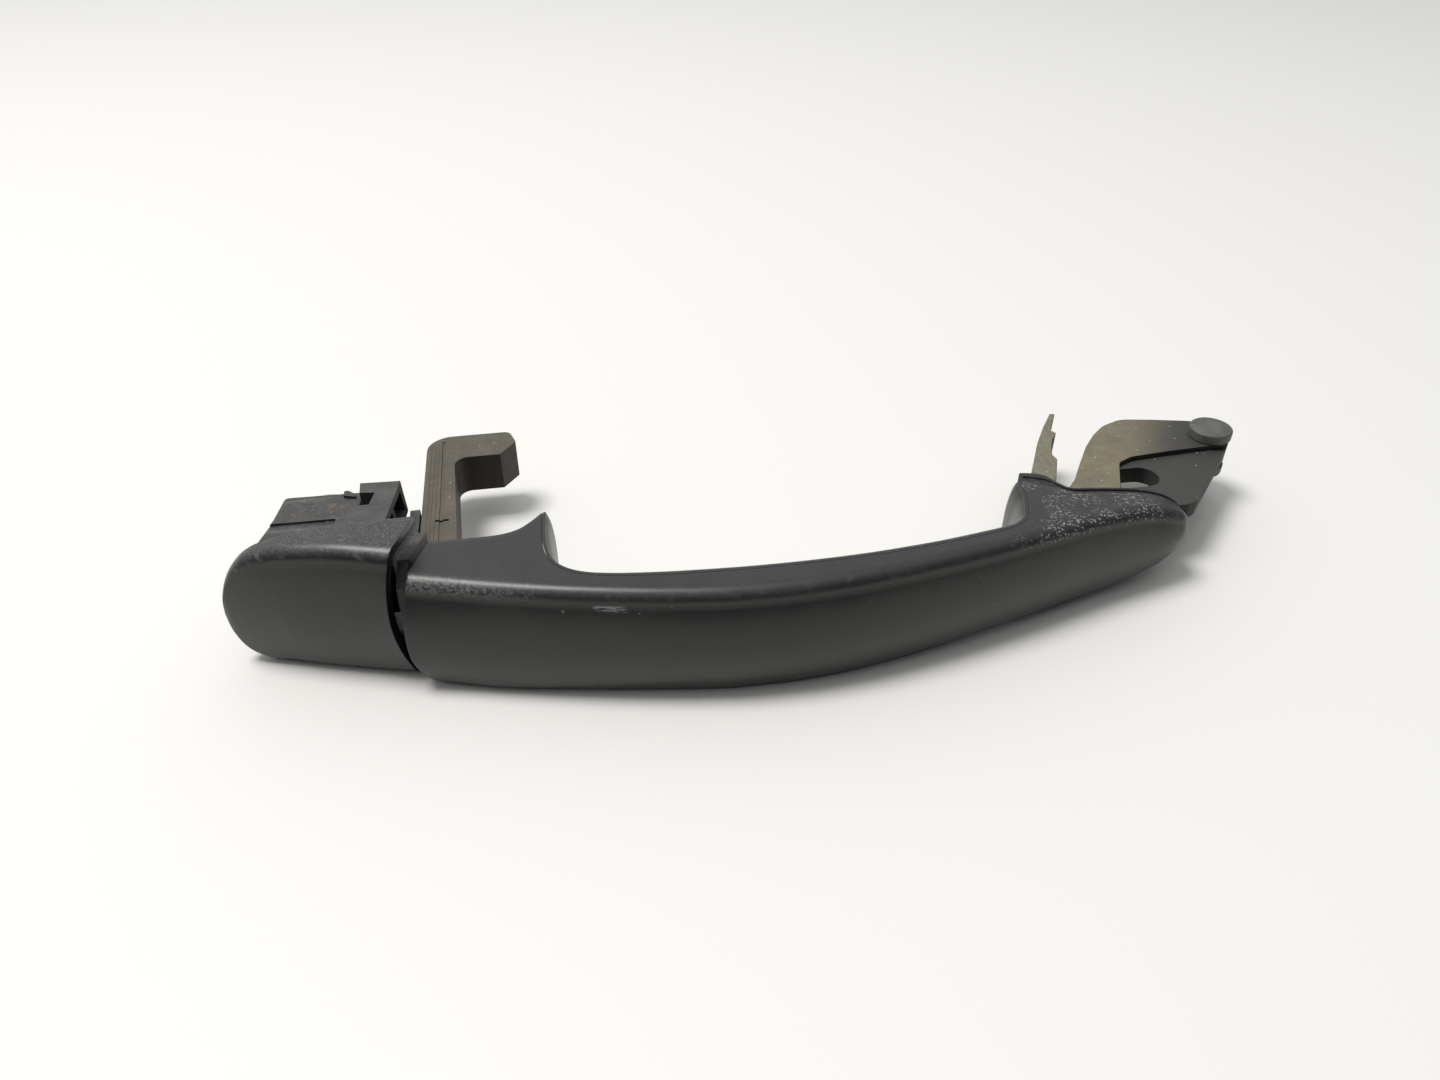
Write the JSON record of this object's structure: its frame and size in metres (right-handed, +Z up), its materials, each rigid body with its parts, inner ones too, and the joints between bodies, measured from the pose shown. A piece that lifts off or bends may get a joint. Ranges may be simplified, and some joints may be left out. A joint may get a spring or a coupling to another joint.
{
  "type": "car door handle",
  "caption": "Strap-type outside car door handle with its lock-cylinder cap, a hook-ended grip that swings outwards on a pin in its front lug, seals and pads.",
  "frame": {"origin": "middle of the rear foot's seating face, on the back of its pad", "axes": "+X along the grip from the lock-cylinder cap towards the pivot, +Y into the door along the seating face's normal, +Z up on the door"},
  "size_m": [0.2554, 0.0915, 0.0337],
  "materials": {
    "satin_black_plastic": "satin moulded black with a fine grain, scuffed pale along its upper edges",
    "housing_plastic": "satin black moulding with faint draw lines and brownish dust",
    "bracket_plastic": "clean dark grey moulding",
    "cylinder_zinc": "dark die-cast finish",
    "spring_steel": "bright zinc-plated steel",
    "core_nylon": "dull glass-filled nylon",
    "tongue_plastic": "dull black plastic, paler on its upper face",
    "olive_nylon": "dusty olive-grey glass-filled nylon with lengthwise draw marks",
    "pin_finish": "dull dark grey, flat ended",
    "seal_rubber": "soft black rubber"
  },
  "bodies": {
    "cap": {"cap_cover": "satin_black_plastic", "cylinder_housing": "housing_plastic", "snap_bracket": "bracket_plastic", "bracket_screw": "spring_steel", "cap_seal": "seal_rubber", "barrel_plug": "cylinder_zinc", "barrel_clip": "spring_steel"},
    "grip": {"grip_outer_shell": "satin_black_plastic", "grip_inner_shell": "satin_black_plastic", "hook_dowel_front": "spring_steel", "hook_dowel_rear": "spring_steel", "lug_dowel_left": "spring_steel", "lug_dowel_right": "spring_steel", "grip_core": "core_nylon", "end_tongue": "tongue_plastic", "hook_arm": "olive_nylon", "pivot_lug": "olive_nylon", "guide_fin": "olive_nylon", "pivot_pin": "pin_finish", "front_seal": "seal_rubber", "rear_pad": "seal_rubber"}
  },
  "joints": [
    {"name": "grip_swing", "type": "hinge", "parent": "cap", "child": "grip", "pos_m": [0.1914, 0.0266, 0], "axis": [0, 0, 1], "range_deg": [0, 6]}
  ]
}
